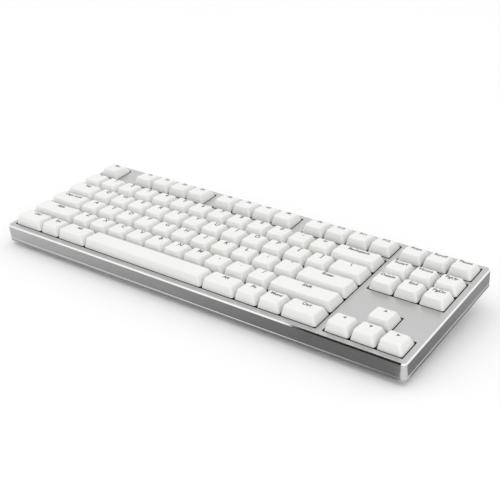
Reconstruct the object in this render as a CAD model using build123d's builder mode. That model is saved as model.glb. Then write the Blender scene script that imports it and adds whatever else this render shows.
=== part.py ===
from build123d import *
import os
from math import asin, atan2, cos, degrees, hypot, radians, sin, tan

# Tenkeyless mechanical keyboard in an aluminium case.
# Millimetres. +X runs to the right along the rows, +Y away from the typist, +Z up.
# The origin is on the desk, under the middle of the keyboard.
# Heights called "depth" are measured down from the deck, the tilted top face of the case.
# Heights in the switch section are measured up from the top face of the switch plate.

# ---------------------------------------------------------------- key layout
key_pitch = 19.05
function_row_gap = 3.86
navigation_gap = 5.23
keycap_gap = 1.0

# ---------------------------------------------------------------- switches
key_travel = 4.0
plate_cutout = 14.0
housing_clearance = 0.03
housing_flange = 15.6
flange_thickness = 1.0
board_seat = 5.0
housing_top = 6.6
upper_base_x, upper_base_y = 14.6, 14.2
upper_top_x, upper_top_y = 10.8, 8.4
upper_roof = 0.8
upper_wall = 0.9
housing_wall = 0.9
housing_floor = 1.0
post_diameter = 4.0
post_length = 3.0
post_bore = 3.0
slider_x, slider_y = 7.0, 5.6
slider_clearance = 0.2
shoulder_x, shoulder_y = 9.0, 6.6
shoulder_height = 2.0
slider_floor_gap = 0.4
stem_arm = 4.1
stem_thickness = 1.2
stem_height = 3.6
stem_clearance = 0.02
spring_outer = 4.4
spring_wire = 0.3
spring_bore_clearance = 0.2
guide_pin = 2.2
pin_diameter = 1.5
pin_clearance = 0.1
pin_length = 3.3
pin_places = ((-3.81, 2.54), (2.54, 5.08))
leaf_width, leaf_thickness, leaf_top = 2.2, 0.3, -0.5
leaf_offset = 0.76

# ---------------------------------------------------------------- keycaps
cap_wall = 1.4
cap_roof = 1.6
cap_roof_clearance = 0.3
cap_base_radius = 1.0
cap_top_radius = 2.4
cap_side_inset = 2.3
cap_boss = 5.5
cap_boss_clearance = 0.1
dish_depth = 0.6

# ---------------------------------------------------------------- stabilizers
stabilized_from = 2.0
stabilizer_offset = 11.94
wide_stabilizer_offset = 47.63
wide_stabilized_from = 6.0
stabilizer_x, stabilizer_y = 6.8, 12.0
stabilizer_top = 2.4
stabilizer_stem_x, stabilizer_stem_y = 4.6, 5.4
stabilizer_board_gap = 0.4
wire_diameter = 1.6
wire_slot_clearance = 0.3
wire_bite = 1.2
wire_plate_gap = 0.1

# ---------------------------------------------------------------- plate and board
plate_depth = 6.2
plate_thickness = 1.5
plate_clearance = 0.4
board_thickness = 1.6
board_clearance = 0.4
driver_hole = 5.0

# ---------------------------------------------------------------- case
side_margin = 5.0
front_margin = 5.3
rear_margin = 5.0
corner_radius = 3.5
deck_chamfer = 1.0
seam_chamfer = 0.45
deck_thickness = 2.5
wall = 4.0
cutout_gap = 0.8
cutout_radius = 0.8
flange_floor = 1.0
flange_ring = 5.2
pan_ring = 5.0
pan_wall = 2.0
pan_floor = 1.5
pan_floor_clearance = 0.8
pan_side_inset = 14.0
pan_front_inset = 8.0
pan_rear_inset = 6.0
pan_radius = 4.0
deck_tilt = 6.0
pan_tilt = 3.0

# ---------------------------------------------------------------- feet
front_foot_height = 1.4
rear_pad_thickness = 1.4
pad_length, pad_width = 36.0, 8.0
pad_side_inset = 34.0
pad_edge_inset = 2.0
tilt_foot_width = 26.0
tilt_foot_thickness = 4.0
tilt_foot_lean = 8.0
tilt_foot_inset = 58.0
tilt_foot_rear_inset = 9.0
pocket_clearance = 0.5
pocket_wall = 2.5
trunnion_diameter = 2.4
trunnion_length = 1.6
trunnion_clearance = 0.06

# ---------------------------------------------------------------- screws
screw_diameter = 2.0
screw_fit = 0.02
screw_pass = 2.3
screw_head = 3.8
screw_head_height = 1.2
screw_head_clearance = 0.15
case_screw_inset = 2.4
case_screw_reach = 6.0
board_screw_length = 3.6
board_boss = 4.6

# ---------------------------------------------------------------- USB inlet
usb_width, usb_height, usb_depth = 8.94, 3.2, 7.35
usb_wall = 1.0
usb_shell = 0.35
usb_tongue = 0.7
usb_slot_clearance = 0.3
usb_tab_side = 1.6
usb_tab_clearance = 0.4
usb_column = 1.5

# ================================================================ the layout
# Each row: where it starts, and its keys with their widths in key pitches.
main_rows = {
    "bottom": [("left_ctrl", 1.5), ("left_system", 1), ("left_alt", 1.5), ("space", 6),
               ("right_alt", 1.5), ("right_system", 1), ("menu", 1), ("right_ctrl", 1.5)],
    "shift": [("left_shift", 2.25)] + [(k, 1) for k in "zxcvbnm"]
             + [("comma", 1), ("period", 1), ("slash", 1), ("right_shift", 2.75)],
    "home": [("caps_lock", 1.75)] + [(k, 1) for k in "asdfghjkl"]
            + [("semicolon", 1), ("quote", 1), ("enter", 2.25)],
    "upper": [("tab", 1.5)] + [(k, 1) for k in "qwertyuiop"]
             + [("left_bracket", 1), ("right_bracket", 1), ("backslash", 1.5)],
    "number": [("grave", 1)] + [(k, 1) for k in "1234567890"]
              + [("minus", 1), ("equals", 1), ("backspace", 2)],
}
row_order = ["bottom", "shift", "home", "upper", "number", "function"]
row_front = {row: i * key_pitch for i, row in enumerate(row_order)}
row_front["function"] += function_row_gap
main_width = 15 * key_pitch
navigation_left = main_width + navigation_gap
field_width = navigation_left + 3 * key_pitch
field_depth = row_front["function"] + key_pitch

# Keys that travel on their own; every other key shares one node and one slide with its group.
single_keys = set("abcdefghijklmnopqrstuvwxyz") | {
    "space", "enter", "backspace", "left_shift", "right_shift", "esc",
    "arrow_up", "arrow_down", "arrow_left", "arrow_right"}
key_groups = {
    "function_keys": [f"f{i}" for i in range(1, 13)],
    "number_keys": ["grave", *"1234567890", "minus", "equals"],
    "punctuation_keys": ["left_bracket", "right_bracket", "backslash", "semicolon", "quote",
                         "comma", "period", "slash"],
    "tab_caps_keys": ["tab", "caps_lock"],
    "left_modifier_keys": ["left_ctrl", "left_system", "left_alt"],
    "right_modifier_keys": ["right_alt", "right_system", "menu", "right_ctrl"],
    "navigation_keys": ["print_screen", "scroll_lock", "pause", "insert", "home_key", "page_up",
                        "delete", "end_key", "page_down"],
}

# Height of the front and rear edges of each row's cap top above cap_low, the height that clears
# the switches at full travel, and how far those edges stand in from the foot of the cap.
row_profile = {
    "bottom": (1.8, 0.1, 1.2, 2.9),
    "shift": (1.6, 0.2, 1.2, 2.9),
    "home": (1.2, 0.1, 1.5, 2.7),
    "upper": (1.0, -0.1, 1.7, 2.5),
    "number": (1.0, -0.3, 1.9, 2.4),
    "function": (1.2, -0.5, 1.9, 2.4),
}

# ================================================================ derived sizes
board_depth = plate_depth + board_seat
seam_depth = board_depth
board_bottom = board_depth + board_thickness
shelf_depth = board_bottom + board_clearance / 2
flange_bottom = shelf_depth + flange_floor
pan_front_depth = (board_bottom + max(pin_length, post_length) - board_thickness
                   + pan_floor_clearance + pan_floor)
case_width = field_width + 2 * side_margin
case_depth = field_depth + front_margin + rear_margin
tilt, low_tilt = radians(deck_tilt), radians(pan_tilt)
front_height = (pan_front_depth * cos(tilt) - pan_front_inset * sin(tilt) + front_foot_height)

deck_z = front_height + case_depth / 2 * sin(tilt)
deck_y = -(deck_chamfer + flange_bottom) / 2 * sin(tilt)
deck = Plane(origin=(0, deck_y, deck_z), x_dir=(1, 0, 0), z_dir=(0, -sin(tilt), cos(tilt)))
plate_top = deck.offset(-plate_depth)
up = Axis(deck.origin, deck.z_dir)

pan_length = case_depth - pan_front_inset - pan_rear_inset
pan_width = case_width - 2 * pan_side_inset
pan = Plane(origin=deck.from_local_coords((0, -case_depth / 2 + pan_front_inset, -pan_front_depth)),
            x_dir=(1, 0, 0), z_dir=(0, -sin(low_tilt), cos(low_tilt)))

housing_deck_height = housing_top - plate_depth
cap_low = key_travel + housing_deck_height + cap_roof_clearance + cap_roof
cap_foot = key_pitch - keycap_gap
cavity_floor = -board_seat + housing_floor
slider_bottom = cavity_floor + key_travel + slider_floor_gap
bore_floor = -board_seat - post_length + 0.6
guide_pin_bottom = bore_floor + key_travel + slider_floor_gap
spring_seat = housing_top - 1.4


def field_point(x, y):
    """Deck coordinates of a point measured from the front left corner of the key field."""
    return x - field_width / 2, y - case_depth / 2 + front_margin


def on_plane(plane, x, y, z=0.0):
    """Location at local x, y, z of a plane, turned with it."""
    return plane.location * Location((x, y, z))


# ---------------------------------------------------------------- where each key stands
keys = {}
for row, names in main_rows.items():
    left = 0.0
    for name, width in names:
        middle = left + width * key_pitch / 2
        keys[name] = (row, width, *field_point(middle, row_front[row] + key_pitch / 2))
        left += width * key_pitch

function_columns = {"esc": 0.0}
for group, first_column in enumerate((2, 6.5, 11)):
    for i in range(4):
        function_columns[f"f{4 * group + i + 1}"] = first_column + i
for name, column in function_columns.items():
    keys[name] = ("function", 1, *field_point((column + 0.5) * key_pitch,
                                              row_front["function"] + key_pitch / 2))

navigation_rows = {
    "function": ["print_screen", "scroll_lock", "pause"],
    "number": ["insert", "home_key", "page_up"],
    "upper": ["delete", "end_key", "page_down"],
    "shift": [None, "arrow_up", None],
    "bottom": ["arrow_left", "arrow_down", "arrow_right"],
}
for row, names in navigation_rows.items():
    for i, name in enumerate(names):
        if name:
            keys[name] = (row, 1, *field_point(navigation_left + (i + 0.5) * key_pitch,
                                               row_front[row] + key_pitch / 2))


def stabilizer_places(width):
    """Offsets along a key at which it has stabilizer stems."""
    if width < stabilized_from:
        return []
    offset = wide_stabilizer_offset if width >= wide_stabilized_from else stabilizer_offset
    return [-offset, offset]


switch_points = [(x, y) for _, _, x, y in keys.values()]
stabilizer_points = [(x + dx, y) for _, width, x, y in keys.values()
                     for dx in stabilizer_places(width)]

# Screws between the rows hold the board to bosses on the bottom case.
board_screw_points = [field_point(column * key_pitch, row_front[row])
                      for row, columns in (("shift", (0.75, 14.25)), ("upper", (0.75, 5, 9, 13.4)))
                      for column in columns]
board_screw_points += [field_point(navigation_left + 1.5 * key_pitch, 2.5 * key_pitch)]

# Screws up through the rim of the bottom case into the walls of the top case.
screw_x = case_width / 2 - case_screw_inset
screw_y = case_depth / 2 - case_screw_inset
case_screw_points = [(sx * share * screw_x, sy * screw_y)
                     for sx in (-1, 1) for sy in (-1, 1) for share in (1 / 3, 0.93)]
case_screw_points += [(-screw_x, 0), (screw_x, 0)]

usb_x, _ = field_point(usb_column * key_pitch, 0)
usb_mouth = case_depth / 2 - usb_wall
usb_z = -board_depth + usb_height / 2

os.makedirs("parts", exist_ok=True)


def save(name, *solids):
    """Write one node: a single solid, or a group of separate solids."""
    piece = solids[0] if len(solids) == 1 else Compound(children=list(solids))
    piece.label = name
    export_step(piece, f"parts/{name}.step")


def copies(part, plane, points):
    """The same part standing at each point of a plane."""
    return [part.moved(on_plane(plane, x, y)) for x, y in points]


# ================================================================ top case
# Rectangles that each block of keys stands in: left, front, right, rear in the key field.
pitch = key_pitch
function_front = row_front["function"]
key_blocks = [
    (0, 0, main_width, 5 * pitch),
    (0, function_front, pitch, field_depth),
    (2 * pitch, function_front, 6 * pitch, field_depth),
    (6.5 * pitch, function_front, 10.5 * pitch, field_depth),
    (11 * pitch, function_front, 15 * pitch, field_depth),
    (navigation_left, function_front, field_width, field_depth),
    (navigation_left, 3 * pitch, field_width, 5 * pitch),
    (navigation_left, 0, field_width, pitch),
    (navigation_left + pitch, 0, navigation_left + 2 * pitch, 2 * pitch),
]
cutout_grow = cutout_gap - keycap_gap / 2

with BuildPart() as top_case:
    with BuildSketch(deck):
        RectangleRounded(case_width, case_depth, corner_radius)
    extrude(amount=-seam_depth)
    chamfer(top_case.faces().sort_by(up)[-1].edges(), deck_chamfer)
    chamfer(top_case.faces().sort_by(up)[0].edges(), seam_chamfer)
    # hollow under the deck
    with BuildSketch(deck.offset(-deck_thickness)):
        Rectangle(case_width - 2 * wall, case_depth - 2 * wall)
    extrude(amount=-seam_depth, mode=Mode.SUBTRACT)
    # openings for the blocks of keys
    with BuildSketch(deck) as openings:
        for left, front, right, rear in key_blocks:
            with Locations(field_point((left + right) / 2, (front + rear) / 2)):
                Rectangle(right - left + 2 * cutout_grow, rear - front + 2 * cutout_grow)
        fillet(openings.vertices(), cutout_radius)
    extrude(amount=-deck_thickness, mode=Mode.SUBTRACT)
    # tapped holes for the case screws
    with BuildSketch(deck.offset(-seam_depth)):
        with Locations(*case_screw_points):
            Circle(screw_diameter / 2 + screw_fit)
    extrude(amount=case_screw_reach, mode=Mode.SUBTRACT)
    # USB slot, and the pocket behind it that the socket stands in
    with BuildSketch(Plane(origin=deck.from_local_coords((usb_x, case_depth / 2, usb_z)),
                           x_dir=(1, 0, 0), z_dir=-deck.y_dir)):
        SlotOverall(usb_width + 2 * usb_slot_clearance, usb_height + 2 * usb_slot_clearance)
    extrude(amount=wall, mode=Mode.SUBTRACT)
    with BuildSketch(deck.offset(-seam_depth)):
        with Locations((usb_x, usb_mouth - wall / 2)):
            Rectangle(usb_width + 4 * usb_slot_clearance, wall)
    extrude(amount=usb_height + usb_slot_clearance, mode=Mode.SUBTRACT)
save("top_case", top_case.part)

# ================================================================ tilt foot hinge line
hinge_height = pocket_clearance + tilt_foot_thickness / 2
hinge_pan_y = pan_length - tilt_foot_rear_inset
hinge = pan.from_local_coords((0, hinge_pan_y, hinge_height))
foot_x = case_width / 2 - tilt_foot_inset
lean = radians(tilt_foot_lean)
foot_reach = hinge.Z / cos(lean)
pocket_x = tilt_foot_width + 2 * pocket_clearance
pocket_depth = tilt_foot_thickness + 2 * pocket_clearance
pocket_front = hinge_pan_y - foot_reach - tilt_foot_thickness / 2 - pocket_clearance
pocket_rear = hinge_pan_y + tilt_foot_thickness / 2 + 2 * pocket_clearance
pocket_middle = (pocket_front + pocket_rear) / 2
pocket_y = pocket_rear - pocket_front

# ================================================================ bottom case
with BuildPart() as bottom_case:
    with BuildSketch(deck.offset(-seam_depth)):
        RectangleRounded(case_width, case_depth, corner_radius)
    extrude(amount=-(flange_bottom - seam_depth))
    chamfer(bottom_case.faces().sort_by(up)[-1].edges(), seam_chamfer)
    chamfer(bottom_case.faces().sort_by(up)[0].edges(), seam_chamfer)
    # shallow wedge-shaped pan
    with BuildSketch(deck.offset(-flange_bottom)):
        RectangleRounded(case_width - 2 * pan_ring, case_depth - 2 * pan_ring, pan_radius)
    with BuildSketch(pan):
        with Locations((0, pan_length / 2)):
            RectangleRounded(pan_width, pan_length, pan_radius)
    loft()
    # room for the board in the rim, then for the pins under it
    with BuildSketch(deck.offset(-seam_depth)):
        Rectangle(case_width - 2 * flange_ring, case_depth - 2 * flange_ring)
        with Locations((usb_x, usb_mouth)):
            Rectangle(usb_width + 2 * usb_tab_side + 2 * usb_tab_clearance, 2 * flange_ring,
                      align=(Align.CENTER, Align.MAX))
    extrude(amount=-(shelf_depth - seam_depth), mode=Mode.SUBTRACT)
    with BuildSketch(deck.offset(-shelf_depth)):
        RectangleRounded(case_width - 2 * pan_ring - 2 * pan_wall,
                         case_depth - 2 * pan_ring - 2 * pan_wall, pan_radius - pan_wall / 2)
    with BuildSketch(pan.offset(pan_floor)):
        with Locations((0, pan_length / 2)):
            RectangleRounded(pan_width - pan_wall, pan_length - pan_wall, pan_radius - pan_wall / 2)
    loft(mode=Mode.SUBTRACT)
    # bosses under the board
    for x, y in board_screw_points:
        from_front = y + case_depth / 2 - pan_front_inset
        floor_depth = pan_front_depth - pan_floor + from_front * tan(tilt - low_tilt)
        with BuildSketch(deck.offset(-board_bottom)):
            with Locations((x, y)):
                Circle(board_boss / 2)
        extrude(amount=-(floor_depth - board_bottom + pan_floor / 2))
        with BuildSketch(deck.offset(-board_bottom)):
            with Locations((x, y)):
                Circle(screw_diameter / 2 + screw_fit)
        extrude(amount=-(board_screw_length - board_thickness + screw_fit), mode=Mode.SUBTRACT)
    # pockets that the tilt feet fold into
    with BuildSketch(pan):
        with Locations(*[(side * foot_x, pocket_middle) for side in (-1, 1)]):
            Rectangle(pocket_x + 2 * pocket_wall, pocket_y + 2 * pocket_wall)
    extrude(amount=pocket_depth + pan_floor)
    with BuildSketch(pan):
        with Locations(*[(side * foot_x, pocket_middle) for side in (-1, 1)]):
            Rectangle(pocket_x, pocket_y)
    extrude(amount=pocket_depth, mode=Mode.SUBTRACT)
    for side in (-1, 1):
        with BuildSketch(Plane(origin=(side * foot_x, hinge.Y, hinge.Z),
                               x_dir=(0, 1, 0), z_dir=(1, 0, 0))):
            Circle(trunnion_diameter / 2 + trunnion_clearance)
        extrude(amount=tilt_foot_width / 2 + trunnion_length + pocket_clearance, both=True,
                mode=Mode.SUBTRACT)
    # case screw holes with sunk heads
    with BuildSketch(deck.offset(-seam_depth)):
        with Locations(*case_screw_points):
            Circle(screw_pass / 2)
    extrude(amount=-(flange_bottom - seam_depth), mode=Mode.SUBTRACT)
    with BuildSketch(deck.offset(-flange_bottom)):
        with Locations(*case_screw_points):
            Circle(screw_head / 2 + screw_head_clearance)
    extrude(amount=screw_head_height, mode=Mode.SUBTRACT)
save("bottom_case", bottom_case.part)

# ================================================================ tilt feet
for side, name in ((-1, "tilt_foot_left"), (1, "tilt_foot_right")):
    foot_plane = Plane(origin=(side * foot_x, hinge.Y, hinge.Z), x_dir=(0, 1, 0), z_dir=(1, 0, 0))
    half = tilt_foot_thickness / 2
    with BuildPart() as tilt_foot:
        with BuildSketch(foot_plane):
            Circle(half)
            with Locations(Location((0, 0, 0), (0, 0, tilt_foot_lean))):
                Rectangle(tilt_foot_thickness, 2 * foot_reach, align=(Align.CENTER, Align.CENTER))
            # cut off above the hinge and level with the desk
            with Locations(Location((0, 0, 0), (0, 0, tilt_foot_lean))):
                Rectangle(4 * half, 2 * foot_reach, align=(Align.CENTER, Align.MIN),
                          mode=Mode.SUBTRACT)
            Circle(half)
            with Locations((0, -hinge.Z)):
                Rectangle(4 * foot_reach, foot_reach, align=(Align.CENTER, Align.MAX),
                          mode=Mode.SUBTRACT)
        extrude(amount=tilt_foot_width / 2, both=True)
        with BuildSketch(foot_plane):
            Circle(trunnion_diameter / 2)
        extrude(amount=tilt_foot_width / 2 + trunnion_length, both=True)
    save(name, tilt_foot.part)

# ================================================================ rubber feet
pad_x = case_width / 2 - pad_side_inset - pad_length / 2
rear_pad_y = pocket_front - pocket_wall - pad_edge_inset - pad_width
with BuildPart() as front_pads:
    with BuildSketch(pan):
        with Locations((-pad_x, pad_edge_inset + pad_width / 2), (pad_x, pad_edge_inset + pad_width / 2)):
            RectangleRounded(pad_length, pad_width, pad_width / 3)
    extrude(amount=-2 * front_foot_height)
    # their soles lie flat on the desk
    split(bisect_by=Plane.XY, keep=Keep.TOP)
with BuildPart() as rear_pads:
    with BuildSketch(pan):
        with Locations((-pad_x, rear_pad_y), (pad_x, rear_pad_y)):
            RectangleRounded(pad_length, pad_width, pad_width / 3)
    extrude(amount=-rear_pad_thickness)
save("rubber_feet", *front_pads.part.solids(), *rear_pads.part.solids())

# ================================================================ switch plate
plate_width = case_width - 2 * wall - 2 * plate_clearance
plate_length = case_depth - 2 * wall - 2 * plate_clearance
slot_x = stabilizer_x + 2 * housing_clearance
slot_y = stabilizer_y + 2 * housing_clearance

with BuildPart() as switch_plate:
    with BuildSketch(plate_top):
        Rectangle(plate_width, plate_length)
        with Locations(*switch_points):
            Rectangle(plate_cutout, plate_cutout, mode=Mode.SUBTRACT)
        with Locations(*stabilizer_points):
            Rectangle(slot_x, slot_y, mode=Mode.SUBTRACT)
        with Locations(*board_screw_points):
            Circle(driver_hole / 2, mode=Mode.SUBTRACT)
    extrude(amount=-plate_thickness)
save("switch_plate", switch_plate.part)

# ================================================================ circuit board
board_width = case_width - 2 * flange_ring - 2 * board_clearance
board_length = case_depth - 2 * flange_ring - 2 * board_clearance
tab_rear = usb_mouth - usb_tab_clearance
pin_points = [(x + px, y + py) for x, y in switch_points for px, py in pin_places]

with BuildPart() as circuit_board:
    with BuildSketch(deck.offset(-board_depth)):
        Rectangle(board_width, board_length)
        with Locations((usb_x, tab_rear)):
            Rectangle(usb_width + 2 * usb_tab_side, case_depth / 4, align=(Align.CENTER, Align.MAX))
        with Locations(*switch_points):
            Circle(post_diameter / 2 + pin_clearance, mode=Mode.SUBTRACT)
        with Locations(*pin_points):
            Circle(pin_diameter / 2 + pin_clearance, mode=Mode.SUBTRACT)
        with Locations(*board_screw_points):
            Circle(screw_pass / 2, mode=Mode.SUBTRACT)
    extrude(amount=-board_thickness)
save("circuit_board", circuit_board.part)

# Chips on the underside of the board: a diode by each switch, the controller, its crystal
# and the capacitors by the USB socket.
diode_x, diode_y, diode_height = 2.7, 1.5, 1.1
diode_offset = (0.0, -5.2)
controller_size, controller_height = 9.0, 1.2
crystal_x, crystal_y = 5.0, 3.2
capacitor_x, capacitor_y = 2.0, 1.25
chip_row = row_front["number"]
controller_at = field_point(7.0 * key_pitch, chip_row)
crystal_at = field_point(7.6 * key_pitch, chip_row)
board_underside = deck.offset(-board_bottom)

with BuildPart() as diode:
    Box(diode_x, diode_y, diode_height, align=(Align.CENTER, Align.CENTER, Align.MAX))
with BuildPart() as controller:
    Box(controller_size, controller_size / 2, controller_height,
        align=(Align.CENTER, Align.CENTER, Align.MAX))
with BuildPart() as crystal:
    Box(crystal_x, crystal_y, diode_height, align=(Align.CENTER, Align.CENTER, Align.MAX))
with BuildPart() as capacitor:
    Box(capacitor_x, capacitor_y, diode_height, align=(Align.CENTER, Align.CENTER, Align.MAX))

diode_points = [(x + diode_offset[0], y + diode_offset[1]) for x, y in switch_points]
capacitor_points = [(usb_x + dx, tab_rear - 14) for dx in (-5, 0, 5)]
save("board_components",
     *copies(diode.part, board_underside, diode_points),
     *copies(controller.part, board_underside, [controller_at]),
     *copies(crystal.part, board_underside, [crystal_at]),
     *copies(capacitor.part, board_underside, capacitor_points))

# ================================================================ switches
housing_size = plate_cutout - 2 * housing_clearance
cavity_size = housing_size - 2 * housing_wall

with BuildPart() as lower_housing:
    with BuildSketch(Plane.XY):
        RectangleRounded(housing_flange, housing_flange, 0.6)
    extrude(amount=flange_thickness)
    with BuildSketch(Plane.XY):
        Rectangle(housing_size, housing_size)
    extrude(amount=-board_seat)
    with BuildSketch(Plane.XY.offset(-board_seat)):
        Circle(post_diameter / 2)
    extrude(amount=-post_length)
    with BuildSketch(Plane.XY.offset(flange_thickness)):
        Rectangle(cavity_size, cavity_size)
    extrude(amount=-(flange_thickness - cavity_floor), mode=Mode.SUBTRACT)
    with BuildSketch(Plane.XY.offset(cavity_floor)):
        Circle(post_bore / 2)
    extrude(amount=-(cavity_floor - bore_floor), mode=Mode.SUBTRACT)
    with BuildSketch(Plane.XY.offset(cavity_floor)):
        with Locations(*pin_places):
            Circle(pin_diameter / 2)
    extrude(amount=-housing_floor, mode=Mode.SUBTRACT)
save("switch_lower_housings", *copies(lower_housing.part, plate_top, switch_points))

with BuildPart() as upper_housing:
    with BuildSketch(Plane.XY.offset(flange_thickness)):
        RectangleRounded(upper_base_x, upper_base_y, 0.8)
    with BuildSketch(Plane.XY.offset(housing_top)):
        RectangleRounded(upper_top_x, upper_top_y, 0.8)
    loft()
    with BuildSketch(Plane.XY.offset(flange_thickness)):
        Rectangle(upper_base_x - 2 * upper_wall, upper_base_y - 2 * upper_wall)
    with BuildSketch(Plane.XY.offset(housing_top - upper_roof)):
        Rectangle(upper_top_x - upper_wall, upper_top_y - upper_wall)
    loft(mode=Mode.SUBTRACT)
    with BuildSketch(Plane.XY.offset(housing_top)):
        Rectangle(slider_x + 2 * slider_clearance, slider_y + 2 * slider_clearance)
    extrude(amount=-upper_roof, mode=Mode.SUBTRACT)
save("switch_upper_housings", *copies(upper_housing.part, plate_top, switch_points))


def add_stem(thickness=stem_thickness, arm=stem_arm):
    """Cross-shaped sketch of a stem, or of the slot that it fits."""
    Rectangle(arm, thickness)
    Rectangle(thickness, arm)


with BuildPart() as slider:
    with BuildSketch(Plane.XY.offset(slider_bottom)):
        Rectangle(slider_x, slider_y)
    extrude(amount=housing_top - slider_bottom)
    shoulder_top = housing_top - upper_roof - stem_clearance
    with BuildSketch(Plane.XY.offset(shoulder_top)):
        Rectangle(shoulder_x, shoulder_y)
    extrude(amount=-shoulder_height)
    with BuildSketch(Plane.XY.offset(housing_top)):
        add_stem()
    extrude(amount=stem_height)
    with BuildSketch(Plane.XY.offset(slider_bottom)):
        Circle(spring_outer / 2 + spring_bore_clearance)
    extrude(amount=spring_seat - slider_bottom, mode=Mode.SUBTRACT)
    with BuildSketch(Plane.XY.offset(spring_seat)):
        Circle(guide_pin / 2)
    extrude(amount=-(spring_seat - guide_pin_bottom))

with BuildPart() as spring:
    with BuildSketch(Plane.XY.offset(cavity_floor)):
        Circle(spring_outer / 2)
        Circle(spring_outer / 2 - spring_wire, mode=Mode.SUBTRACT)
    extrude(amount=spring_seat - cavity_floor)
save("switch_springs", *copies(spring.part, plate_top, switch_points))

contacts = []
for px, py in pin_places:
    with BuildPart() as contact:
        with BuildSketch(Plane.XY.offset(cavity_floor)):
            with Locations((px, py)):
                Circle(pin_diameter / 2 - stem_clearance)
        extrude(amount=-(cavity_floor + board_seat + pin_length))
        with BuildSketch(Plane.XY.offset(cavity_floor)):
            with Locations((px, py + leaf_offset)):
                Rectangle(leaf_width, leaf_thickness)
        extrude(amount=leaf_top - cavity_floor)
    contacts += copies(contact.part, plate_top, switch_points)
save("switch_contacts", *contacts)

# ================================================================ stabilizers
stabilizer_bottom = -board_seat + stabilizer_board_gap
wire_slot = wire_diameter + 2 * wire_slot_clearance
wire_z = wire_plate_gap + wire_diameter / 2
wire_bar_y = -(housing_flange / 2 + wire_slot_clearance + wire_diameter / 2)
stem_well_x = stabilizer_stem_x + 2 * slider_clearance
stem_well_y = stabilizer_stem_y + 2 * slider_clearance
stem_bottom = stabilizer_bottom + key_travel + slider_floor_gap

with BuildPart() as stabilizer_housing:
    with BuildSketch(Plane.XY.offset(stabilizer_top)):
        Rectangle(stabilizer_x, stabilizer_y)
    extrude(amount=-(stabilizer_top - stabilizer_bottom))
    with BuildSketch(Plane.XY.offset(stabilizer_top)):
        Rectangle(stem_well_x, stem_well_y)
        with Locations((0, -stabilizer_y / 4)):
            Rectangle(wire_slot, stabilizer_y / 2)
    extrude(amount=-(stabilizer_top - stabilizer_bottom), mode=Mode.SUBTRACT)
    # a web under the wire slot joins the two front legs
    with BuildSketch(Plane.XY.offset(stabilizer_bottom)):
        with Locations((0, -stabilizer_y / 2)):
            Rectangle(stabilizer_x, (stabilizer_y - stem_well_y) / 2,
                      align=(Align.CENTER, Align.MIN))
    extrude(amount=housing_floor)
save("stabilizer_housings", *copies(stabilizer_housing.part, plate_top, stabilizer_points))

with BuildPart() as stabilizer_stem:
    with BuildSketch(Plane.XY.offset(stem_bottom)):
        Rectangle(stabilizer_stem_x, stabilizer_stem_y)
    extrude(amount=housing_top - stem_bottom)
    with BuildSketch(Plane.XY.offset(housing_top)):
        add_stem()
    extrude(amount=stem_height)
    with BuildSketch(Plane(origin=(0, -stabilizer_stem_y / 2, wire_z), x_dir=(1, 0, 0),
                           z_dir=(0, 1, 0))):
        Rectangle(wire_slot, wire_slot)
    extrude(amount=wire_bite + wire_slot_clearance, mode=Mode.SUBTRACT)

wires = []
for _, width, x, y in keys.values():
    if not stabilizer_places(width):
        continue
    reach = stabilizer_places(width)[1]
    tip_y = -stabilizer_stem_y / 2 + wire_bite
    with BuildPart() as wire:
        with BuildLine() as wire_path:
            FilletPolyline((-reach, tip_y, wire_z), (-reach, wire_bar_y, wire_z),
                           (reach, wire_bar_y, wire_z), (reach, tip_y, wire_z),
                           radius=wire_diameter)
        with BuildSketch(Plane(origin=(-reach, tip_y, wire_z), z_dir=(0, -1, 0))):
            Circle(wire_diameter / 2)
        sweep()
    wires += copies(wire.part, plate_top, [(x, y)])
save("stabilizer_wires", *wires)


# ================================================================ keycaps
def make_keycap(row, width):
    """One hollow cap, its foot on the plane z = 0, with a socket for each stem."""
    rise_front, rise_rear, inset_front, inset_rear = row_profile[row]
    foot_x = width * key_pitch - keycap_gap
    front, rear = -cap_foot / 2 + inset_front, cap_foot / 2 - inset_rear
    low, high = cap_low + rise_front, cap_low + rise_rear
    top_x = foot_x - 2 * cap_side_inset
    top_y = hypot(rear - front, high - low)
    slope = atan2(high - low, rear - front)
    top = Plane(origin=(0, (front + rear) / 2, (low + high) / 2), x_dir=(1, 0, 0),
                z_dir=(0, -sin(slope), cos(slope)))
    socket_top = housing_deck_height + stem_height
    boss_bottom = housing_deck_height + cap_boss_clearance
    boss_points = [(dx, 0) for dx in [0, *stabilizer_places(width)]]

    with BuildPart() as cap:
        with BuildSketch(Plane.XY):
            RectangleRounded(foot_x, cap_foot, cap_base_radius)
        with BuildSketch(top):
            RectangleRounded(top_x, top_y, cap_top_radius)
        loft()
        if width < wide_stabilized_from:
            # finger dish, a shallow cylinder running front to rear
            dish_radius = (top_x ** 2 / 4 + dish_depth ** 2) / (2 * dish_depth)
            dish = Plane(origin=top.origin, x_dir=(1, 0, 0), z_dir=top.y_dir)
            with BuildSketch(dish):
                with Locations((0, -(dish_radius - dish_depth))):
                    Circle(dish_radius)
            extrude(amount=key_pitch, both=True, mode=Mode.SUBTRACT)
        # hollow inside
        with BuildSketch(Plane.XY):
            RectangleRounded(foot_x - 2 * cap_wall, cap_foot - 2 * cap_wall, cap_base_radius / 2)
        with BuildSketch(top.offset(-cap_roof)):
            RectangleRounded(top_x - cap_wall, top_y - cap_wall, cap_top_radius / 2)
        loft(mode=Mode.SUBTRACT)
        # stem sockets
        with BuildSketch(Plane.XY.offset(boss_bottom)):
            with Locations(*boss_points):
                Circle(cap_boss / 2)
        extrude(amount=cap_low - cap_roof / 2 - boss_bottom)
        with BuildSketch(Plane.XY.offset(boss_bottom)):
            with Locations(*boss_points):
                add_stem(stem_thickness + 2 * stem_clearance, stem_arm + 2 * stem_clearance)
        extrude(amount=socket_top - boss_bottom, mode=Mode.SUBTRACT)
    return cap.part


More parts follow.
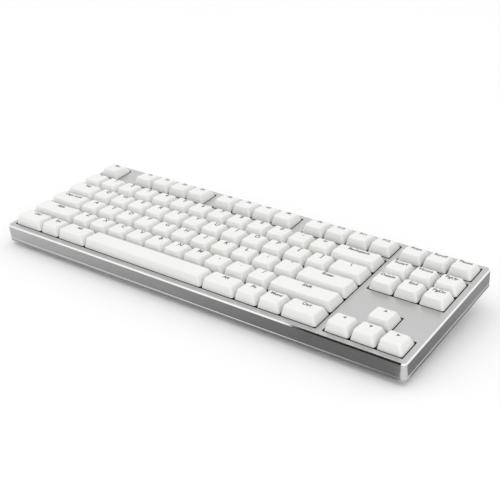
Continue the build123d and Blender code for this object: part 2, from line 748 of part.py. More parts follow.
cap_shapes = {(row, width): make_keycap(row, width)
              for row, width in {(row, width) for row, width, _, _ in keys.values()}}


def key_solids(name):
    """A key's cap, its switch slider and its stabilizer stems, where they stand."""
    row, width, x, y = keys[name]
    solids = copies(cap_shapes[row, width], deck, [(x, y)])
    solids += copies(slider.part, plate_top, [(x, y)])
    solids += copies(stabilizer_stem.part, plate_top,
                     [(x + dx, y) for dx in stabilizer_places(width)])
    return solids


for name in sorted(single_keys):
    save(f"key_{name}", *key_solids(name))
for name, members in key_groups.items():
    save(name, *[solid for member in members for solid in key_solids(member)])

# ================================================================ USB socket
with BuildPart() as usb_socket:
    mouth = Plane(origin=deck.from_local_coords((usb_x, usb_mouth, usb_z)), x_dir=(1, 0, 0),
                  z_dir=-deck.y_dir)
    with BuildSketch(mouth):
        SlotOverall(usb_width, usb_height)
    extrude(amount=usb_depth)
    with BuildSketch(mouth):
        SlotOverall(usb_width - 2 * usb_shell, usb_height - 2 * usb_shell)
    extrude(amount=usb_depth - usb_shell, mode=Mode.SUBTRACT)
    with BuildSketch(mouth.offset(usb_shell)):
        Rectangle(usb_width - 2 * usb_height / 2, usb_tongue)
    extrude(amount=usb_depth - usb_shell)
save("usb_socket", usb_socket.part)

# ================================================================ screws
case_screw_length = flange_bottom - seam_depth - screw_head_height + case_screw_reach - screw_fit
with BuildPart() as case_screw:
    with BuildSketch(Plane.XY):
        Circle(screw_head / 2)
    extrude(amount=screw_head_height)
    with BuildSketch(Plane.XY.offset(screw_head_height)):
        Circle(screw_diameter / 2)
    extrude(amount=case_screw_length)
    with BuildSketch(Plane.XY):
        RegularPolygon(screw_diameter / 2, 6)
    extrude(amount=screw_head_height / 2, mode=Mode.SUBTRACT)
save("case_screws", *copies(case_screw.part, deck.offset(-flange_bottom), case_screw_points))

with BuildPart() as board_screw:
    with BuildSketch(Plane.XY):
        Circle(screw_head / 2)
    extrude(amount=screw_head_height)
    with BuildSketch(Plane.XY):
        Circle(screw_diameter / 2)
    extrude(amount=-board_screw_length)
    with BuildSketch(Plane.XY.offset(screw_head_height)):
        RegularPolygon(screw_diameter / 2, 6)
    extrude(amount=-screw_head_height / 2, mode=Mode.SUBTRACT)
save("board_screws", *copies(board_screw.part, deck.offset(-board_depth), board_screw_points))
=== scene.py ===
import bmesh
import bpy
from math import cos, radians, sin
from mathutils import Matrix, Vector


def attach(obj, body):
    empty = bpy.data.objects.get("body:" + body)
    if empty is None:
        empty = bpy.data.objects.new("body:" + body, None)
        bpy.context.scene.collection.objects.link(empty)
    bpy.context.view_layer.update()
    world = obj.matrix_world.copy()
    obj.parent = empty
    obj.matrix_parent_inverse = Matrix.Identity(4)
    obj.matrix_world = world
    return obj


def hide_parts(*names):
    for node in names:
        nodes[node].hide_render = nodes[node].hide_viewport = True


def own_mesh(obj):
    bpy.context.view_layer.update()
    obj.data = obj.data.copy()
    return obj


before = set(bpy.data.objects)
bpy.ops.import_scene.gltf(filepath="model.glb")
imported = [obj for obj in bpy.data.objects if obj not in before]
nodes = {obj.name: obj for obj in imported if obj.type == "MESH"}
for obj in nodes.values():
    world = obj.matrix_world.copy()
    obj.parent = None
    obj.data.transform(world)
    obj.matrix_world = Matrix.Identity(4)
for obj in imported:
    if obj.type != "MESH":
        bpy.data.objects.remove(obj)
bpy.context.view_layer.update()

# A tenkeyless keyboard. Its lengths are in millimetres until mm() or cap_place() turns them to
# metres. The studio's lengths and the depths of the bumps are in metres.
# The deck is the tilted top face of the case. Deck coordinates run right, rearward and up from it,
# from the middle of the case.


def mm(value):
    return value / 1000.0


# ---------------------------------------------------------------- sizes shared with the frame
KEY_PITCH = 19.05
MAIN_PITCHES = 15
NAVIGATION_PITCHES = 3
SPACE_PITCHES = 6
FUNCTION_GAP = 3.86
NAVIGATION_GAP = 5.23
KEYCAP_GAP = 1.0
FRONT_MARGIN = 5.3
CASE_DEPTH = 128.46
SEAM_DEPTH = 11.2
SEAM_CHAMFER = 0.45
DECK_CHAMFER = 1.0
DECK_TILT = radians(6.0)
DECK_ORIGIN = Vector((0.0, -0.784, 23.986))
FIELD_WIDTH = (MAIN_PITCHES + NAVIGATION_PITCHES) * KEY_PITCH + NAVIGATION_GAP
CAP_LOW = 6.3
CAP_SIDE_INSET = 2.3
CAP_WALL = 1.4
CAP_ROOF = 1.6
DISH = 0.6
SPRING_FOOT, SPRING_HEAD = -10.2, -1.0
SPRING_OUTER, SPRING_WIRE = 4.4, 0.3

DECK = Matrix.Translation(mm(DECK_ORIGIN)) @ Matrix.Rotation(DECK_TILT, 4, "X")
DECK_NORMAL = (0.0, -sin(DECK_TILT), cos(DECK_TILT))


# ================================================================ camera
# The camera's place and its axes, in deck coordinates.
CAMERA_PLACE = (378.76, -462.40, 345.85)
CAMERA_RIGHT = (0.80937, 0.58362, -0.06560)
CAMERA_DOWN = (0.25148, -0.44535, -0.85931)
CAMERA_AHEAD = (-0.53073, 0.67901, -0.50722)
LENS, SENSOR = 66.15, 36.0


def make_camera():
    """A long lens above the keys, in front and to the right."""
    camera = bpy.data.objects.new("camera", bpy.data.cameras.new("camera"))
    bpy.context.scene.collection.objects.link(camera)
    camera.data.lens = LENS
    camera.data.sensor_width = SENSOR
    place = DECK @ Vector([mm(length) for length in CAMERA_PLACE])
    turn = DECK.to_3x3()
    right = turn @ Vector(CAMERA_RIGHT)
    down = turn @ Vector(CAMERA_DOWN)
    ahead = turn @ Vector(CAMERA_AHEAD)
    axes = Matrix((right, -down, -ahead)).transposed()
    camera.matrix_world = Matrix.Translation(place) @ axes.to_4x4()
    bpy.context.scene.camera = camera


make_camera()


# ================================================================ light and floor
FLOOR_SIDE = 12.0
CARD_LIFT = 0.0005


def aim(place, target):
    """The turn that points a light or a card from its place to a target."""
    return (Vector(target) - Vector(place)).to_track_quat("-Z", "Y")


def area_light(name, place, target, size, power):
    data = bpy.data.lights.new(name, "AREA")
    data.shape = "RECTANGLE"
    data.size, data.size_y = size
    data.energy = power
    light = bpy.data.objects.new(name, data)
    bpy.context.scene.collection.objects.link(light)
    light.location = place
    light.rotation_euler = aim(place, target).to_euler()


def square_bmesh(side):
    """A flat square, centred on the origin."""
    bm = bmesh.new()
    bmesh.ops.create_grid(bm, x_segments=1, y_segments=1, size=side / 2)
    return bm


def add_card(name, bm, material):
    """A card that is seen only as a reflection in the metal."""
    card = new_piece(name, bm, material)
    card.visible_camera = False
    card.visible_diffuse = False
    card.visible_shadow = False


def standing_card(name, place, target, size, material):
    """A card that faces a target from where it stands."""
    bm = square_bmesh(1.0)
    turn = aim(place, target).to_matrix().to_4x4()
    bmesh.ops.scale(bm, vec=(*size, 1), verts=bm.verts)
    bmesh.ops.transform(bm, matrix=Matrix.Translation(place) @ turn, verts=bm.verts)
    add_card(name, bm, material)


def lying_card(name, low, high, material):
    """A card just above the floor, between two corners."""
    bm = square_bmesh(1.0)
    bmesh.ops.scale(bm, vec=(high[0] - low[0], high[1] - low[1], 1), verts=bm.verts)
    middle = ((low[0] + high[0]) / 2, (low[1] + high[1]) / 2, CARD_LIFT)
    bmesh.ops.translate(bm, vec=middle, verts=bm.verts)
    add_card(name, bm, material)


def card_paint(name, axis, start, end, first, last):
    """A matt grey that changes from first to last, between start and end on an axis."""
    paint = Paint(name, (first, first, first), 1.0)
    split = paint.node("ShaderNodeSeparateXYZ")
    paint.link(paint.coordinates, split.inputs[0])
    place = paint.spread(split.outputs[axis], 0.0, 1.0, start, end)
    paint.colour(paint.mix(place, (first, first, first), (last, last, last)))
    return paint.material


def make_studio():
    """A white world, two soft lights, a pale floor, and three cards for the metal to reflect."""
    scene = bpy.context.scene
    scene.view_settings.view_transform = "Standard"
    world = bpy.data.worlds.new("studio")
    world.use_nodes = True
    background = world.node_tree.nodes["Background"]
    background.inputs["Color"].default_value = (1.0, 1.0, 1.0, 1.0)
    background.inputs["Strength"].default_value = 1.0
    scene.world = world
    area_light("overhead", (0.0, -0.1, 1.4), (0, 0, 0), (1.4, 1.2), 1.2)
    area_light("front_fill", (0.8, -1.0, 0.35), (0, 0, 0), (0.9, 0.4), 1.2)
    # a black card high up in front, and two grey ones on the floor, in front and on the right
    black = moulded_paint("black_card", (0.005, 0.005, 0.005), 1.0)
    standing_card("edge_flag", (0.0, -0.36, 0.40), (0.13, -0.065, 0.02), (0.24, 0.26), black)
    fading = card_paint("front_card", "X", -0.18, 0.10, 0.74, 0.20)
    lying_card("front_card", (-1.2, -1.0), (0.172, -0.066), fading)
    grey = card_paint("side_card", "Y", -0.05, 0.06, 0.26, 0.38)
    lying_card("side_card", (0.181, -0.050), (1.2, 1.0), grey)
    floor = new_piece("floor", square_bmesh(FLOOR_SIDE), floor_paint())


# ================================================================ material tools
class Paint:
    """A procedural material with its shader and a few shorthand makers of nodes."""

    def __init__(self, name, colour, roughness, metallic=0.0):
        self.material = bpy.data.materials.new(name)
        self.material.use_nodes = True
        self.tree = self.material.node_tree
        self.shader = self.tree.nodes["Principled BSDF"]
        self.set("Base Color", (*colour, 1.0))
        self.set("Roughness", roughness)
        self.set("Metallic", metallic)
        self.coordinates = self.tree.nodes.new("ShaderNodeTexCoord").outputs["Object"]

    def set(self, socket, value):
        self.shader.inputs[socket].default_value = value

    def node(self, kind, **values):
        made = self.tree.nodes.new(kind)
        for key, value in values.items():
            setattr(made, key, value)
        return made

    def link(self, source, target):
        self.tree.links.new(source, target)

    def noise(self, scale, detail=3.0, roughness=0.5, stretch=(1, 1, 1)):
        """Noise with scale waves per metre, times stretch along each axis."""
        mapping = self.node("ShaderNodeMapping")
        mapping.inputs["Scale"].default_value = stretch
        self.link(self.coordinates, mapping.inputs["Vector"])
        noise = self.node("ShaderNodeTexNoise")
        noise.inputs["Scale"].default_value = scale
        noise.inputs["Detail"].default_value = detail
        noise.inputs["Roughness"].default_value = roughness
        self.link(mapping.outputs["Vector"], noise.inputs["Vector"])
        return noise.outputs["Fac"]

    def spread(self, source, low, high, start=0.3, end=0.7):
        """The source's range from start to end, turned into low to high."""
        spread = self.node("ShaderNodeMapRange")
        limits = {"From Min": start, "From Max": end, "To Min": low, "To Max": high}
        for socket, value in limits.items():
            spread.inputs[socket].default_value = value
        self.link(source, spread.inputs["Value"])
        return spread.outputs["Result"]

    def mix(self, factor, first, second):
        """A colour between two; each is a colour or an output."""
        mix = self.node("ShaderNodeMix", data_type="RGBA")
        self.link(factor, mix.inputs["Factor"])
        for socket, value in (("A", first), ("B", second)):
            target = [s for s in mix.inputs if s.name == socket and s.type == "RGBA"][0]
            if isinstance(value, tuple):
                target.default_value = (*value, 1.0)
            else:
                self.link(value, target)
        return [s for s in mix.outputs if s.type == "RGBA"][0]

    def arithmetic(self, operation, first, second):
        """An operation on an output and either another output or a number."""
        node = self.node("ShaderNodeMath", operation=operation)
        self.link(first, node.inputs[0])
        if isinstance(second, float):
            node.inputs[1].default_value = second
        else:
            self.link(second, node.inputs[1])
        return node.outputs["Value"]

    def colour(self, source):
        self.link(source, self.shader.inputs["Base Color"])

    def roughness(self, source):
        self.link(source, self.shader.inputs["Roughness"])

    def bump(self, height, strength, distance):
        bump = self.node("ShaderNodeBump")
        bump.inputs["Strength"].default_value = strength
        bump.inputs["Distance"].default_value = distance
        self.link(height, bump.inputs["Height"])
        self.link(bump.outputs["Normal"], self.shader.inputs["Normal"])


def floor_paint():
    paint = Paint("studio_floor", (0.97, 0.97, 0.97), 0.9)
    paint.colour(paint.mix(paint.noise(3.0), (0.96, 0.96, 0.96), (0.98, 0.98, 0.98)))
    return paint.material


def height_above_deck(paint):
    """How far a point lies above the deck, in metres: below it is negative."""
    dot = paint.node("ShaderNodeVectorMath", operation="DOT_PRODUCT")
    paint.link(paint.coordinates, dot.inputs[0])
    dot.inputs[1].default_value = DECK_NORMAL
    level = mm(Vector(DECK_NORMAL).dot(DECK_ORIGIN))
    return paint.arithmetic("SUBTRACT", dot.outputs["Value"], level)


# Brushing along the case, its depth, and the height over which the paint changes at the seam.
BRUSHING = {"scale": 900.0, "detail": 4.0, "roughness": 0.6, "stretch": (0.03, 1.0, 1.0)}
BRUSHING_DEPTH = 0.00003
SEAM_BLEND = 0.06


def case_paint():
    """Satin aluminium: the deck, and a brushed side between two polished edges."""
    paint = Paint("brushed_aluminium_case", (0.6, 0.6, 0.6), 0.35, metallic=1.0)
    height = height_above_deck(paint)
    deck = paint.spread(height, 0.0, 1.0, mm(-0.15), mm(-0.05))
    below_edge = paint.spread(height, 1.0, 0.0, mm(-DECK_CHAMFER - 0.05), mm(-DECK_CHAMFER + 0.02))
    seam = mm(-SEAM_DEPTH + SEAM_CHAMFER)
    above_seam = paint.spread(height, 0.0, 1.0, seam, seam + mm(SEAM_BLEND))
    side = paint.arithmetic("MULTIPLY", below_edge, above_seam)
    grain = paint.noise(**BRUSHING)
    streaks = paint.spread(grain, 0, 1)
    cloud = paint.spread(paint.noise(14.0, 2.0), 0, 0.3)
    top = paint.mix(streaks, (0.545, 0.545, 0.545), (0.57, 0.57, 0.565))
    top = paint.mix(cloud, top, (0.62, 0.62, 0.615))
    flank = paint.mix(streaks, (0.57, 0.57, 0.575), (0.62, 0.62, 0.62))
    edge = paint.mix(streaks, (0.90, 0.90, 0.90), (0.93, 0.93, 0.93))
    edge = paint.mix(above_seam, (0.80, 0.80, 0.80), edge)
    paint.colour(paint.mix(side, paint.mix(deck, edge, top), flank))
    matt = paint.arithmetic("MAXIMUM", deck, side)
    share = paint.spread(matt, 0.22, 1.0, 0.0, 1.0)
    paint.roughness(paint.arithmetic("MULTIPLY", share, paint.spread(grain, 0.27, 0.33)))
    paint.bump(grain, 0.05, BRUSHING_DEPTH)
    return paint.material


def base_paint():
    """The lower shell: brushed like the upper one's side, with a brighter edge at the seam."""
    paint = Paint("brushed_aluminium_base", (0.50, 0.50, 0.505), 0.4, metallic=1.0)
    seam = mm(-SEAM_DEPTH - SEAM_CHAMFER)
    edge = paint.spread(height_above_deck(paint), 0.0, 1.0, seam - mm(SEAM_BLEND), seam)
    grain = paint.noise(**BRUSHING)
    body = paint.mix(paint.spread(grain, 0, 1), (0.46, 0.46, 0.465), (0.52, 0.52, 0.52))
    paint.colour(paint.mix(edge, body, (0.62, 0.62, 0.62)))
    share = paint.spread(edge, 1.0, 0.6, 0.0, 1.0)
    paint.roughness(paint.arithmetic("MULTIPLY", share, paint.spread(grain, 0.34, 0.46)))
    paint.bump(grain, 0.05, BRUSHING_DEPTH)
    return paint.material


def moulded_paint(name, colour, roughness, grain=1800.0, depth=0.00003, shade=0.06):
    """Moulded plastic or rubber with a fine texture and a slight drift in colour."""
    paint = Paint(name, colour, roughness)
    texture = paint.noise(grain, 3.0, 0.6)
    drift = paint.noise(25.0, 2.0)
    light = tuple(min(1.0, c * (1 + shade)) for c in colour)
    dark = tuple(c * (1 - shade) for c in colour)
    paint.colour(paint.mix(paint.spread(drift, 0, 1), dark, light))
    paint.roughness(paint.spread(texture, roughness - 0.07, roughness + 0.07))
    paint.bump(texture, 0.3, depth)
    return paint.material


def metal_paint(name, colour, roughness, stretch=(0.05, 1, 1)):
    """Drawn, rolled or stamped metal with fine streaks."""
    paint = Paint(name, colour, roughness, metallic=1.0)
    streaks = paint.noise(700.0, 4.0, 0.6, stretch)
    light = tuple(min(1.0, c * 1.08) for c in colour)
    dark = tuple(c * 0.9 for c in colour)
    paint.colour(paint.mix(paint.spread(streaks, 0, 1), dark, light))
    paint.roughness(paint.spread(streaks, roughness - 0.06, roughness + 0.1))
    paint.bump(streaks, 0.15, 0.00002)
    return paint.material


def board_paint():
    """Solder mask with faint copper tracks under it."""
    paint = Paint("solder_mask", (0.03, 0.12, 0.07), 0.3)
    tracks = paint.node("ShaderNodeTexBrick")
    tracks.inputs["Scale"].default_value = 90.0
    tracks.inputs["Mortar Size"].default_value = 0.03
    paint.link(paint.coordinates, tracks.inputs["Vector"])
    paint.colour(paint.mix(tracks.outputs["Fac"], (0.02, 0.10, 0.055), (0.045, 0.17, 0.09)))
    paint.roughness(paint.spread(paint.noise(400.0), 0.25, 0.4))
    return paint.material


# ================================================================ mesh tools
def new_piece(name, bm, material, smooth=False):
    """Turn a finished bmesh into an object at the origin."""
    mesh = bpy.data.meshes.new(name)
    bm.to_mesh(mesh)
    bm.free()
    mesh.materials.append(material)
    if smooth:
        mesh.shade_smooth()
    piece = bpy.data.objects.new(name, mesh)
    bpy.context.scene.collection.objects.link(piece)
    return piece


def join_meshes(name, meshes, material, smooth=False):
    """One piece from several bmeshes."""
    whole = bmesh.new()
    for part in meshes:
        mesh = bpy.data.meshes.new("part")
        part.to_mesh(mesh)
        part.free()
        whole.from_mesh(mesh)
        bpy.data.meshes.remove(mesh)
    return new_piece(name, whole, material, smooth)


# ================================================================ key layout
MAIN_ROWS = {
    "bottom": [("left_ctrl", 1.5), ("left_system", 1), ("left_alt", 1.5),
               ("space", SPACE_PITCHES),
               ("right_alt", 1.5), ("right_system", 1), ("menu", 1), ("right_ctrl", 1.5)],
    "shift": [("left_shift", 2.25)] + [(k, 1) for k in "zxcvbnm"]
             + [("comma", 1), ("period", 1), ("slash", 1), ("right_shift", 2.75)],
    "home": [("caps_lock", 1.75)] + [(k, 1) for k in "asdfghjkl"]
            + [("semicolon", 1), ("quote", 1), ("enter", 2.25)],
    "upper": [("tab", 1.5)] + [(k, 1) for k in "qwertyuiop"]
             + [("left_bracket", 1), ("right_bracket", 1), ("backslash", 1.5)],
    "number": [("grave", 1)] + [(k, 1) for k in "1234567890"]
              + [("minus", 1), ("equals", 1), ("backspace", 2)],
}
ROW_ORDER = ["bottom", "shift", "home", "upper", "number", "function"]
NAVIGATION_ROWS = {
    "function": ["print_screen", "scroll_lock", "pause"],
    "number": ["insert", "home_key", "page_up"],
    "upper": ["delete", "end_key", "page_down"],
    "shift": [None, "arrow_up", None],
    "bottom": ["arrow_left", "arrow_down", "arrow_right"],
}
KEY_GROUPS = {
    "function_keys": [f"f{i}" for i in range(1, 13)],
    "number_keys": ["grave", *"1234567890", "minus", "equals"],
    "punctuation_keys": ["left_bracket", "right_bracket", "backslash", "semicolon", "quote",
                         "comma", "period", "slash"],
    "tab_caps_keys": ["tab", "caps_lock"],
    "left_modifier_keys": ["left_ctrl", "left_system", "left_alt"],
    "right_modifier_keys": ["right_alt", "right_system", "menu", "right_ctrl"],
    "navigation_keys": ["print_screen", "scroll_lock", "pause", "insert", "home_key", "page_up",
                        "delete", "end_key", "page_down"],
}
# The first column of each group of four function keys.
FUNCTION_COLUMNS = (2, 6.5, 11)
# For the front and rear edges of a cap's top: their heights above CAP_LOW, then their insets.
ROW_PROFILE = {
    "bottom": (1.8, 0.1, 1.2, 2.9),
    "shift": (1.6, 0.2, 1.2, 2.9),
    "home": (1.2, 0.1, 1.5, 2.7),
    "upper": (1.0, -0.1, 1.7, 2.5),
    "number": (1.0, -0.3, 1.9, 2.4),
    "function": (1.2, -0.5, 1.9, 2.4),
}


def lay_out_keys():
    """Each key's row, width in pitches, and place on the deck."""
    navigation_left = MAIN_PITCHES * KEY_PITCH + NAVIGATION_GAP
    row_front = {row: i * KEY_PITCH for i, row in enumerate(ROW_ORDER)}
    row_front["function"] += FUNCTION_GAP
    keys = {}

    def put(name, row, width, middle):
        y = row_front[row] + KEY_PITCH / 2
        keys[name] = (row, width, middle - FIELD_WIDTH / 2, y - CASE_DEPTH / 2 + FRONT_MARGIN)

    for row, names in MAIN_ROWS.items():
        left = 0.0
        for name, width in names:
            put(name, row, width, left + width * KEY_PITCH / 2)
            left += width * KEY_PITCH
    put("esc", "function", 1, KEY_PITCH / 2)
    for group, first_column in enumerate(FUNCTION_COLUMNS):
        for i in range(4):
            put(f"f{4 * group + i + 1}", "function", 1, (first_column + i + 0.5) * KEY_PITCH)
    for row, names in NAVIGATION_ROWS.items():
        for i, name in enumerate(names):
            if name:
                put(name, row, 1, navigation_left + (i + 0.5) * KEY_PITCH)
    return keys


KEYS = lay_out_keys()


def key_bodies():
    """Each key body's name and the keys that it carries."""
    grouped = {member for members in KEY_GROUPS.values() for member in members}
    bodies = {f"key_{name}": [name] for name in KEYS if name not in grouped}
    return bodies | KEY_GROUPS


# ================================================================ keycaps
CAP_CORNER, CORNER_SEGMENTS = 1.9, 5
CAP_EDGE, EDGE_SEGMENTS = 0.8, 3
# The top is cut into strips, so that it can dip.
STRIPS_PER_PITCH, FEWEST_STRIPS = 5, 6
# Faces above CROWN_SHARE of the roof's height are cut. The dip fades out DISH_FADE below the roof.
CROWN_SHARE, DISH_FADE = 0.72, 2.0


class CapForm:
    """The outline of one keycap, in its own coordinates above the deck."""

    def __init__(self, row, width):
        rise_front, rise_rear, inset_front, inset_rear = ROW_PROFILE[row]
        self.width = width
        self.foot = width * KEY_PITCH - KEYCAP_GAP
        self.foot_depth = KEY_PITCH - KEYCAP_GAP
        self.front = -self.foot_depth / 2 + inset_front
        self.rear = self.foot_depth / 2 - inset_rear
        self.low = CAP_LOW + rise_front
        self.high = CAP_LOW + rise_rear
        self.top = self.foot - 2 * CAP_SIDE_INSET
        self.dished = width < SPACE_PITCHES

    def roof(self, y):
        """Height of the flat top at a distance y from the cap's middle."""
        return self.low + (self.high - self.low) * (y - self.front) / (self.rear - self.front)

    def hollow(self, x):
        """How far the finger dish dips at x. The space bar has a flat top."""
        share = max(0.0, 1 - (x / (self.top / 2)) ** 2)
        return DISH * share if self.dished else 0.0


def cap_block(form):
    """A solid cap with rounded corners and a soft rim."""
    bm = bmesh.new()
    bmesh.ops.create_cube(bm, size=2.0)
    for v in bm.verts:
        if v.co.z > 0:
            y = form.rear if v.co.y > 0 else form.front
            v.co = Vector((v.co.x * form.top / 2, y, form.roof(y)))
        else:
            v.co = Vector((v.co.x * form.foot / 2, v.co.y * form.foot_depth / 2, 0.0))
    uprights = [e for e in bm.edges if abs(e.verts[0].co.z - e.verts[1].co.z) > CAP_LOW / 2]
    bmesh.ops.bevel(bm, geom=uprights, offset=CAP_CORNER, offset_type="OFFSET",
                    segments=CORNER_SEGMENTS, profile=0.5, affect="EDGES", material=-1)
    bm.normal_update()
    top = max(bm.faces, key=lambda f: f.calc_center_median().z)
    bmesh.ops.bevel(bm, geom=list(top.edges), offset=CAP_EDGE, offset_type="OFFSET",
                    segments=EDGE_SEGMENTS, profile=0.5, affect="EDGES", material=-1)
    bm.normal_update()
    return bm


def dish_top(bm, form):
    """Cut the top of a solid cap into strips and lower them to the finger dish."""
    strips = max(FEWEST_STRIPS, int(form.width * STRIPS_PER_PITCH))
    for i in range(1, strips):
        x = form.top * (i / strips - 0.5)
        crown = [f for f in bm.faces if f.calc_center_median().z > form.roof(0) * CROWN_SHARE]
        parts = set(crown)
        for f in crown:
            parts.update(f.edges)
            parts.update(f.verts)
        bmesh.ops.bisect_plane(bm, geom=list(parts), plane_co=(x, 0, 0), plane_no=(1, 0, 0))
    for v in bm.verts:
        below = form.roof(v.co.y) - v.co.z
        if below < DISH_FADE:
            v.co.z -= form.hollow(v.co.x) * (1 - max(0.0, below) / DISH_FADE)


def hollow_out(bm, form):
    """Push the foot of a solid cap up inside it, which leaves its wall and its roof."""
    foot = min(bm.faces, key=lambda f: f.calc_center_median().z)
    bmesh.ops.inset_individual(bm, faces=[foot], thickness=CAP_WALL)
    inner = bmesh.ops.extrude_face_region(bm, geom=[foot])
    ceiling = [v for v in inner["geom"] if isinstance(v, bmesh.types.BMVert)]
    for v in ceiling:
        along = v.co.y / (form.foot_depth - 2 * CAP_WALL) + 0.5
        y = form.front + CAP_WALL + (form.rear - form.front - 2 * CAP_WALL) * along
        x = v.co.x * (form.top - 2 * CAP_WALL) / (form.foot - 2 * CAP_WALL)
        v.co = Vector((x, y, form.roof(y) - CAP_ROOF))
    bmesh.ops.delete(bm, geom=[foot], context="FACES_ONLY")


def cap_bmesh(form, at):
    """A hollow keycap with a dished top, its foot level with the deck."""
    bm = cap_block(form)
    dish_top(bm, form)
    hollow_out(bm, form)
    bmesh.ops.recalc_face_normals(bm, faces=bm.faces)
    bmesh.ops.transform(bm, matrix=cap_place(at), verts=bm.verts)
    return bm


def cap_place(at):
    """From a cap's own millimetres to its place on the deck in metres."""
    return DECK @ Matrix.Translation((mm(at[0]), mm(at[1]), 0)) @ Matrix.Scale(0.001, 4)


# ================================================================ legends
WORDS = {
    "esc": "Esc", "grave": "`", "minus": "-", "equals": "=", "backspace": "Backspace",
    "tab": "Tab", "left_bracket": "[", "right_bracket": "]", "backslash": "\\",
    "caps_lock": "Caps Lock", "semicolon": ";", "quote": "'", "enter": "Enter",
    "left_shift": "Shift", "right_shift": "Shift", "comma": ",", "period": ".", "slash": "/",
    "left_ctrl": "Ctrl", "right_ctrl": "Ctrl", "left_alt": "Alt", "right_alt": "Alt",
    "left_system": "Sys", "right_system": "Fn", "menu": "Menu",
    "print_screen": "Print", "scroll_lock": "Scroll", "pause": "Pause", "insert": "Insert",
    "home_key": "Home", "page_up": "PgUp", "delete": "Delete", "end_key": "End",
    "page_down": "PgDn",
}
ARROW_ANGLES = {"arrow_up": 0, "arrow_left": 90, "arrow_down": 180, "arrow_right": -90}
ARROW_RADIUS = 1.5
LETTER_HEIGHT, WORD_HEIGHT = 5.4, 4.2
LEGEND_INSET, LEGEND_MARGIN = 3.0, 1.3
LEGEND_LIFT, LEGEND_HALF_THICKNESS, LEGEND_BOLD = 0.05, 0.03, 0.12


def text_bmesh(text, height):
    """Flat characters centred on the origin, a little thick."""
    curve = bpy.data.curves.new("legend", "FONT")
    curve.body = text
    curve.size = height
    curve.align_x, curve.align_y = "CENTER", "CENTER"
    curve.extrude = LEGEND_HALF_THICKNESS
    curve.offset = LEGEND_BOLD
    curve.resolution_u = 3
    holder = bpy.data.objects.new("legend", curve)
    bpy.context.scene.collection.objects.link(holder)
    bpy.context.view_layer.update()
    mesh = bpy.data.meshes.new_from_object(holder)
    bm = bmesh.new()
    bm.from_mesh(mesh)
    bpy.data.objects.remove(holder)
    bpy.data.curves.remove(curve)
    bpy.data.meshes.remove(mesh)
    return bm


def arrow_bmesh(angle):
    """A small filled triangle that points rearward, turned by an angle."""
    bm = bmesh.new()
    bmesh.ops.create_circle(bm, cap_ends=True, segments=3, radius=ARROW_RADIUS)
    up = bmesh.ops.extrude_face_region(bm, geom=list(bm.faces))
    raised = [v for v in up["geom"] if isinstance(v, bmesh.types.BMVert)]
    bmesh.ops.translate(bm, verts=raised, vec=(0, 0, 2 * LEGEND_HALF_THICKNESS))
    bmesh.ops.recalc_face_normals(bm, faces=bm.faces)
    turn = Matrix.Rotation(radians(angle), 3, "Z")
    bmesh.ops.rotate(bm, verts=bm.verts, cent=(0, 0, 0), matrix=turn)
    return bm


def legend_bmesh(name):
    """A key's legend, lying on its cap near the rear."""
    row, width, x, y = KEYS[name]
    form = CapForm(row, width)
    if name in ARROW_ANGLES:
        bm = arrow_bmesh(ARROW_ANGLES[name])
    else:
        text = WORDS.get(name, name.upper())
        bm = text_bmesh(text, LETTER_HEIGHT if len(text) == 1 else WORD_HEIGHT)
    room = form.top - 2 * LEGEND_MARGIN
    wide = max(v.co.x for v in bm.verts) - min(v.co.x for v in bm.verts)
    if wide > room:
        bmesh.ops.scale(bm, vec=(room / wide, room / wide, 1), verts=bm.verts)
    middle = form.rear - LEGEND_INSET
    for v in bm.verts:
        across, along, thick = v.co.x, v.co.y + middle, v.co.z
        height = form.roof(along) - form.hollow(across) + LEGEND_LIFT + thick
        v.co = Vector((across, along, height))
    bmesh.ops.transform(bm, matrix=cap_place((x, y)), verts=bm.verts)
    return bm


# ================================================================ sliders under the caps
WELD = 1e-6
NARROWEST_CAP = 12.0


def slider_bmesh(node):
    """The switch sliders and stabilizer stems of a key node, without its caps."""
    bm = bmesh.new()
    bm.from_mesh(node.data)
    bmesh.ops.remove_doubles(bm, verts=bm.verts, dist=WELD)
    unseen = set(bm.verts)
    doomed = []
    while unseen:
        island = [unseen.pop()]
        for v in island:
            for e in v.link_edges:
                other = e.other_vert(v)
                if other in unseen:
                    unseen.remove(other)
                    island.append(other)
        wide = max(v.co.x for v in island) - min(v.co.x for v in island)
        if wide > mm(NARROWEST_CAP):
            doomed += island
    bmesh.ops.delete(bm, geom=doomed, context="VERTS")
    return bm


def make_keys():
    """Caps, legends and sliders, in one piece of each for a key body. Space has no legend."""
    caps = moulded_paint("keycap_plastic", (0.845, 0.845, 0.825), 0.34, grain=2600.0, shade=0.012)
    print_ink = moulded_paint("legend_ink", (0.10, 0.10, 0.105), 0.55)
    stem = moulded_paint("slider_plastic", (0.35, 0.05, 0.04), 0.4)
    for body, members in key_bodies().items():
        forms = [cap_bmesh(CapForm(*KEYS[k][:2]), KEYS[k][2:]) for k in members]
        cap = join_meshes(f"cap_{body}", forms, caps, smooth=True)
        even = cap.modifiers.new("even_normals", "WEIGHTED_NORMAL")
        even.mode = "FACE_AREA"
        even.weight = 50
        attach(cap, body)
        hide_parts(body)
        legends = [legend_bmesh(k) for k in members if k != "space"]
        if legends:
            legend = join_meshes(f"legend_{body}", legends, print_ink)
            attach(legend, body)
        slider = new_piece(f"slider_{body}", slider_bmesh(nodes[body]), stem)
        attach(slider, body)


# ================================================================ return springs
SPRING_TURNS, STEPS_PER_TURN, WIRE_SIDES = 8, 10, 6


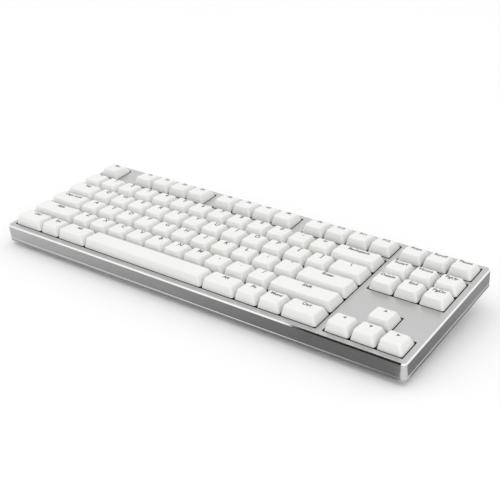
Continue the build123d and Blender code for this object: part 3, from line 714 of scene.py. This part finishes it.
def spring_bmesh(at):
    """One return spring, a round wire wound upwards from the floor of its switch."""
    bm = bmesh.new()
    bmesh.ops.create_circle(bm, segments=WIRE_SIDES, radius=SPRING_WIRE / 2)
    upright = Matrix.Rotation(radians(90), 3, "X")
    bmesh.ops.rotate(bm, verts=bm.verts, cent=(0, 0, 0), matrix=upright)
    start = ((SPRING_OUTER - SPRING_WIRE) / 2, 0, SPRING_FOOT + SPRING_WIRE / 2)
    bmesh.ops.translate(bm, verts=bm.verts, vec=start)
    steps = SPRING_TURNS * STEPS_PER_TURN
    rise = (SPRING_HEAD - SPRING_FOOT - SPRING_WIRE) / steps
    bmesh.ops.spin(bm, geom=list(bm.verts) + list(bm.edges), cent=(0, 0, 0), axis=(0, 0, 1),
                   dvec=(0, 0, rise), angle=radians(360) * SPRING_TURNS, steps=steps)
    bmesh.ops.holes_fill(bm, edges=[e for e in bm.edges if e.is_boundary], sides=0)
    bmesh.ops.recalc_face_normals(bm, faces=bm.faces)
    bmesh.ops.transform(bm, matrix=cap_place(at), verts=bm.verts)
    return bm


def make_springs():
    """Each body's springs, joined in one piece that the case carries, at their rest length."""
    wire = bpy.data.materials["spring_wire"]
    for i, (body, members) in enumerate(key_bodies().items()):
        wound = [spring_bmesh(KEYS[k][2:]) for k in members]
        coils = join_meshes(f"springs_{body}", wound, wire, smooth=True)
        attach(coils, "case")
        if i == 0:
            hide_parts("switch_springs")
        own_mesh(coils)


# ================================================================ materials of the other nodes
def paint_nodes():
    """Give the CAD nodes other than the keys their finishes."""
    steel = metal_paint("zinc_plated_steel", (0.55, 0.56, 0.58), 0.35)
    wire = metal_paint("spring_wire", (0.70, 0.70, 0.71), 0.25)
    black = moulded_paint("black_moulding", (0.02, 0.02, 0.022), 0.4)
    finishes = {
        "top_case": case_paint(),
        "bottom_case": base_paint(),
        "switch_plate": metal_paint("black_plate", (0.03, 0.03, 0.03), 0.45),
        "circuit_board": board_paint(),
        "board_components": moulded_paint("chip_epoxy", (0.03, 0.03, 0.03), 0.5),
        "switch_lower_housings": black,
        "switch_upper_housings": black,
        "switch_springs": wire,
        "switch_contacts": metal_paint("brass_contact", (0.78, 0.57, 0.25), 0.3),
        "stabilizer_housings": black,
        "stabilizer_wires": wire,
        "usb_socket": steel,
        "case_screws": steel,
        "board_screws": steel,
        "rubber_feet": moulded_paint("foot_rubber", (0.025, 0.025, 0.025), 0.75, depth=0.00006),
        "tilt_foot_left": black,
        "tilt_foot_right": black,
    }
    for name, material in finishes.items():
        mesh = nodes[name].data
        mesh.materials.clear()
        mesh.materials.append(material)


make_studio()
paint_nodes()
make_keys()
make_springs()
